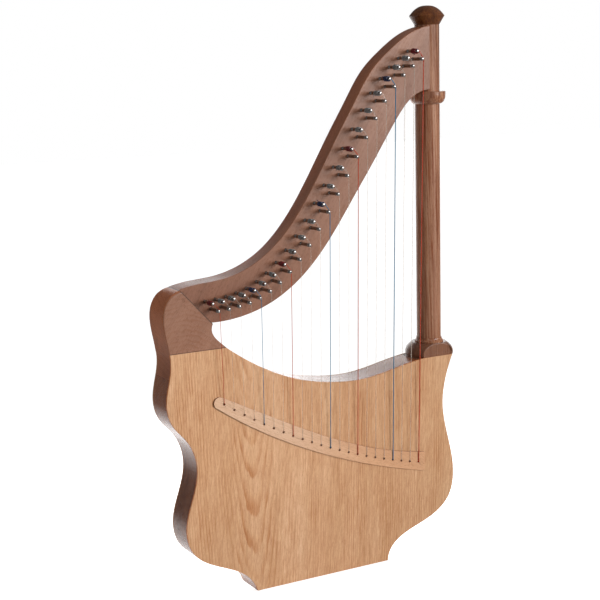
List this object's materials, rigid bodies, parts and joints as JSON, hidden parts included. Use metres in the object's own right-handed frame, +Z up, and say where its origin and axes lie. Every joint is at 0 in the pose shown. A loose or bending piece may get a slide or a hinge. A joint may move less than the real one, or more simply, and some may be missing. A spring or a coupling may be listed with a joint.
{
  "type": "lap harp",
  "caption": "Flat-backed lap harp: shallow waisted soundbox, curved neck, turned column, and strings run from a slanted rib to tuning pins.",
  "frame": {"origin": "centre of the flat underside of the base, at mid depth", "axes": "+Z up along the column, +X towards the bass side with the column, -Y towards the soundboard and the strings"},
  "size_m": [0.4727, 0.0688, 0.805],
  "materials": {
    "walnut": "satin lacquer",
    "beech": "satin lacquer",
    "maple": "satin lacquer",
    "spruce": "raw",
    "nickel": "polished nickel plate",
    "red_nylon": "smooth",
    "blue_nylon": "smooth",
    "clear_nylon": "smooth",
    "black_plastic": "moulded"
  },
  "bodies": {
    "harp": {"treble_side_rim": "walnut", "bass_side_rim": "walnut", "cutout_rim": "walnut", "base_block": "walnut", "shoulder_block": "walnut", "column_block": "walnut", "neck": "walnut", "column": "walnut", "column_foot_ring": "walnut", "column_collar": "walnut", "column_finial": "walnut", "soundboard": "beech", "back_panel": "beech", "string_rib": "maple", "string_bar": "maple", "shoulder_dowels": "maple", "column_dowels": "maple", "soundboard_lining": "spruce", "back_lining": "spruce", "soundboard_upper_brace": "spruce", "soundboard_lower_brace": "spruce", "back_upper_brace": "spruce", "back_lower_brace": "spruce", "bridge_pins": "nickel", "strings_red": "red_nylon", "strings_blue": "blue_nylon", "strings_clear": "clear_nylon", "string_anchors": "black_plastic"},
    "pin_01": {"tuning_pin_01": "nickel"},
    "pin_02": {"tuning_pin_02": "nickel"},
    "pin_03": {"tuning_pin_03": "nickel"},
    "pin_04": {"tuning_pin_04": "nickel"},
    "pin_05": {"tuning_pin_05": "nickel"},
    "pin_06": {"tuning_pin_06": "nickel"},
    "pin_07": {"tuning_pin_07": "nickel"},
    "pin_08": {"tuning_pin_08": "nickel"},
    "pin_09": {"tuning_pin_09": "nickel"},
    "pin_10": {"tuning_pin_10": "nickel"},
    "pin_11": {"tuning_pin_11": "nickel"},
    "pin_12": {"tuning_pin_12": "nickel"},
    "pin_13": {"tuning_pin_13": "nickel"},
    "pin_14": {"tuning_pin_14": "nickel"},
    "pin_15": {"tuning_pin_15": "nickel"},
    "pin_16": {"tuning_pin_16": "nickel"},
    "pin_17": {"tuning_pin_17": "nickel"},
    "pin_18": {"tuning_pin_18": "nickel"},
    "pin_19": {"tuning_pin_19": "nickel"},
    "pin_20": {"tuning_pin_20": "nickel"},
    "pin_21": {"tuning_pin_21": "nickel"},
    "pin_22": {"tuning_pin_22": "nickel"}
  },
  "joints": [
    {"name": "tune_01", "type": "hinge", "parent": "harp", "child": "pin_01", "pos_m": [0.1571, -0.0165, 0.74147], "axis": [0, -1, 0], "range_deg": [-700, 90]},
    {"name": "tune_02", "type": "hinge", "parent": "harp", "child": "pin_02", "pos_m": [0.14146, -0.0165, 0.73205], "axis": [0, -1, 0], "range_deg": [-700, 90]},
    {"name": "tune_03", "type": "hinge", "parent": "harp", "child": "pin_03", "pos_m": [0.12582, -0.0165, 0.71998], "axis": [0, -1, 0], "range_deg": [-700, 90]},
    {"name": "tune_04", "type": "hinge", "parent": "harp", "child": "pin_04", "pos_m": [0.11018, -0.0165, 0.70464], "axis": [0, -1, 0], "range_deg": [-700, 90]},
    {"name": "tune_05", "type": "hinge", "parent": "harp", "child": "pin_05", "pos_m": [0.09454, -0.0165, 0.68539], "axis": [0, -1, 0], "range_deg": [-700, 90]},
    {"name": "tune_06", "type": "hinge", "parent": "harp", "child": "pin_06", "pos_m": [0.0789, -0.0165, 0.66229], "axis": [0, -1, 0], "range_deg": [-700, 90]},
    {"name": "tune_07", "type": "hinge", "parent": "harp", "child": "pin_07", "pos_m": [0.06326, -0.0165, 0.63675], "axis": [0, -1, 0], "range_deg": [-700, 90]},
    {"name": "tune_08", "type": "hinge", "parent": "harp", "child": "pin_08", "pos_m": [0.04762, -0.0165, 0.61111], "axis": [0, -1, 0], "range_deg": [-700, 90]},
    {"name": "tune_09", "type": "hinge", "parent": "harp", "child": "pin_09", "pos_m": [0.03198, -0.0165, 0.5861], "axis": [0, -1, 0], "range_deg": [-700, 90]},
    {"name": "tune_10", "type": "hinge", "parent": "harp", "child": "pin_10", "pos_m": [0.01634, -0.0165, 0.5618], "axis": [0, -1, 0], "range_deg": [-700, 90]},
    {"name": "tune_11", "type": "hinge", "parent": "harp", "child": "pin_11", "pos_m": [0.0007, -0.0165, 0.53829], "axis": [0, -1, 0], "range_deg": [-700, 90]},
    {"name": "tune_12", "type": "hinge", "parent": "harp", "child": "pin_12", "pos_m": [-0.01494, -0.0165, 0.51582], "axis": [0, -1, 0], "range_deg": [-700, 90]},
    {"name": "tune_13", "type": "hinge", "parent": "harp", "child": "pin_13", "pos_m": [-0.03058, -0.0165, 0.49521], "axis": [0, -1, 0], "range_deg": [-700, 90]},
    {"name": "tune_14", "type": "hinge", "parent": "harp", "child": "pin_14", "pos_m": [-0.04622, -0.0165, 0.47702], "axis": [0, -1, 0], "range_deg": [-700, 90]},
    {"name": "tune_15", "type": "hinge", "parent": "harp", "child": "pin_15", "pos_m": [-0.06186, -0.0165, 0.4614], "axis": [0, -1, 0], "range_deg": [-700, 90]},
    {"name": "tune_16", "type": "hinge", "parent": "harp", "child": "pin_16", "pos_m": [-0.0775, -0.0165, 0.44832], "axis": [0, -1, 0], "range_deg": [-700, 90]},
    {"name": "tune_17", "type": "hinge", "parent": "harp", "child": "pin_17", "pos_m": [-0.09314, -0.0165, 0.43795], "axis": [0, -1, 0], "range_deg": [-700, 90]},
    {"name": "tune_18", "type": "hinge", "parent": "harp", "child": "pin_18", "pos_m": [-0.10878, -0.0165, 0.43041], "axis": [0, -1, 0], "range_deg": [-700, 90]},
    {"name": "tune_19", "type": "hinge", "parent": "harp", "child": "pin_19", "pos_m": [-0.12442, -0.0165, 0.4255], "axis": [0, -1, 0], "range_deg": [-700, 90]},
    {"name": "tune_20", "type": "hinge", "parent": "harp", "child": "pin_20", "pos_m": [-0.14006, -0.0165, 0.42232], "axis": [0, -1, 0], "range_deg": [-700, 90]},
    {"name": "tune_21", "type": "hinge", "parent": "harp", "child": "pin_21", "pos_m": [-0.1557, -0.0165, 0.42025], "axis": [0, -1, 0], "range_deg": [-700, 90]},
    {"name": "tune_22", "type": "hinge", "parent": "harp", "child": "pin_22", "pos_m": [-0.17134, -0.0165, 0.41907], "axis": [0, -1, 0], "range_deg": [-700, 90]}
  ]
}
